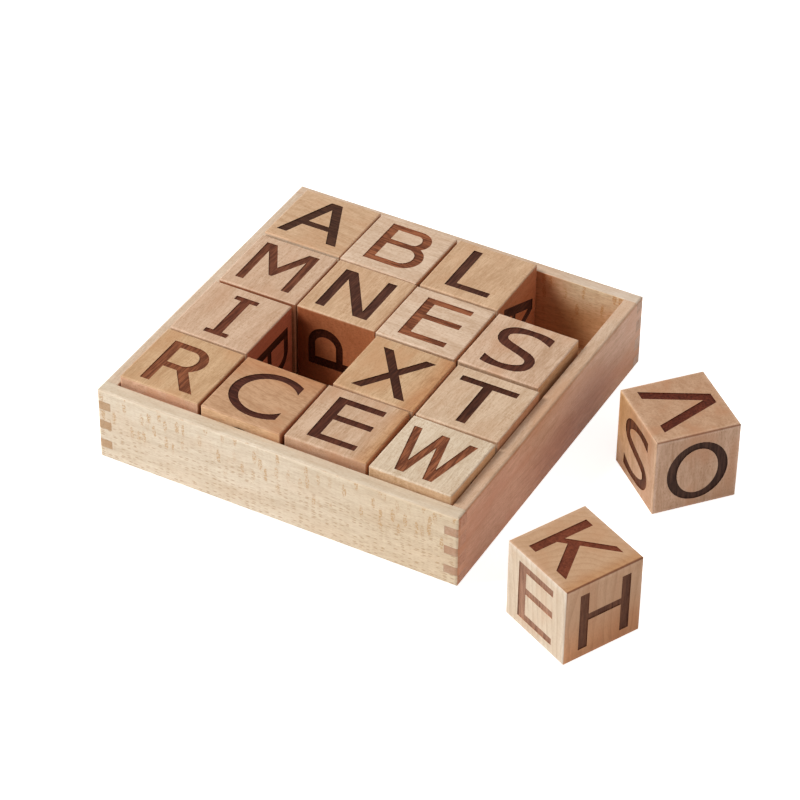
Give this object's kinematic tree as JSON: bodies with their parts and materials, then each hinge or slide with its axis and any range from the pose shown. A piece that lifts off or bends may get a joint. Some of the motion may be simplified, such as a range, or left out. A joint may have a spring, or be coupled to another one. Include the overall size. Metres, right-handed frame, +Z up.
{
  "type": "alphabet block set",
  "caption": "Square finger-jointed wooden tray holding rows of wooden letter cubes, each with a capital letter burnt into every face, for spelling and stacking play.",
  "frame": {"origin": "middle of the tray's underside, which stands on the table", "axes": "+X to the right along the tray's front wall, towards the loose blocks; +Y from the front wall to the back wall; +Z up"},
  "size_m": [0.2562, 0.1998, 0.042],
  "materials": {
    "tray_wood": "satin oiled beech",
    "panel_wood": "satin plywood",
    "block_wood": "satin oiled beech with burnt letters"
  },
  "bodies": {
    "tray": {"tray_front_wall": "tray_wood", "tray_back_wall": "tray_wood", "tray_left_wall": "tray_wood", "tray_right_wall": "tray_wood", "tray_floor": "panel_wood"},
    "block_a": {"block_a": "block_wood"},
    "block_b": {"block_b": "block_wood"},
    "block_l": {"block_l": "block_wood"},
    "block_m": {"block_m": "block_wood"},
    "block_n": {"block_n": "block_wood"},
    "block_e_middle": {"block_e_middle": "block_wood"},
    "block_s": {"block_s": "block_wood"},
    "block_i": {"block_i": "block_wood"},
    "block_x": {"block_x": "block_wood"},
    "block_t": {"block_t": "block_wood"},
    "block_r": {"block_r": "block_wood"},
    "block_c": {"block_c": "block_wood"},
    "block_e_front": {"block_e_front": "block_wood"},
    "block_w": {"block_w": "block_wood"},
    "block_v": {"block_v": "block_wood"},
    "block_k": {"block_k": "block_wood"}
  },
  "joints": [
    {"name": "lift_a", "type": "slide", "parent": "tray", "child": "block_a", "axis": [0, 0, 1], "range_m": [0, 0.06]},
    {"name": "lift_b", "type": "slide", "parent": "tray", "child": "block_b", "axis": [0, 0, 1], "range_m": [0, 0.06]},
    {"name": "lift_l", "type": "slide", "parent": "tray", "child": "block_l", "axis": [0, 0, 1], "range_m": [0, 0.06]},
    {"name": "lift_m", "type": "slide", "parent": "tray", "child": "block_m", "axis": [0, 0, 1], "range_m": [0, 0.06]},
    {"name": "lift_n", "type": "slide", "parent": "tray", "child": "block_n", "axis": [0, 0, 1], "range_m": [0, 0.06]},
    {"name": "lift_e_middle", "type": "slide", "parent": "tray", "child": "block_e_middle", "axis": [0, 0, 1], "range_m": [0, 0.06]},
    {"name": "lift_s", "type": "slide", "parent": "tray", "child": "block_s", "axis": [0, 0, 1], "range_m": [0, 0.06]},
    {"name": "lift_i", "type": "slide", "parent": "tray", "child": "block_i", "axis": [0, 0, 1], "range_m": [0, 0.06]},
    {"name": "lift_x", "type": "slide", "parent": "tray", "child": "block_x", "axis": [0, 0, 1], "range_m": [0, 0.06]},
    {"name": "lift_t", "type": "slide", "parent": "tray", "child": "block_t", "axis": [0, 0, 1], "range_m": [0, 0.06]},
    {"name": "lift_r", "type": "slide", "parent": "tray", "child": "block_r", "axis": [0, 0, 1], "range_m": [0, 0.06]},
    {"name": "lift_c", "type": "slide", "parent": "tray", "child": "block_c", "axis": [0, 0, 1], "range_m": [0, 0.06]},
    {"name": "lift_e_front", "type": "slide", "parent": "tray", "child": "block_e_front", "axis": [0, 0, 1], "range_m": [0, 0.06]},
    {"name": "lift_w", "type": "slide", "parent": "tray", "child": "block_w", "axis": [0, 0, 1], "range_m": [0, 0.06]},
    {"name": "lift_v", "type": "slide", "parent": "tray", "child": "block_v", "axis": [0, 0, 1], "range_m": [0, 0.06]},
    {"name": "lift_k", "type": "slide", "parent": "tray", "child": "block_k", "axis": [0, 0, 1], "range_m": [0, 0.06]}
  ]
}
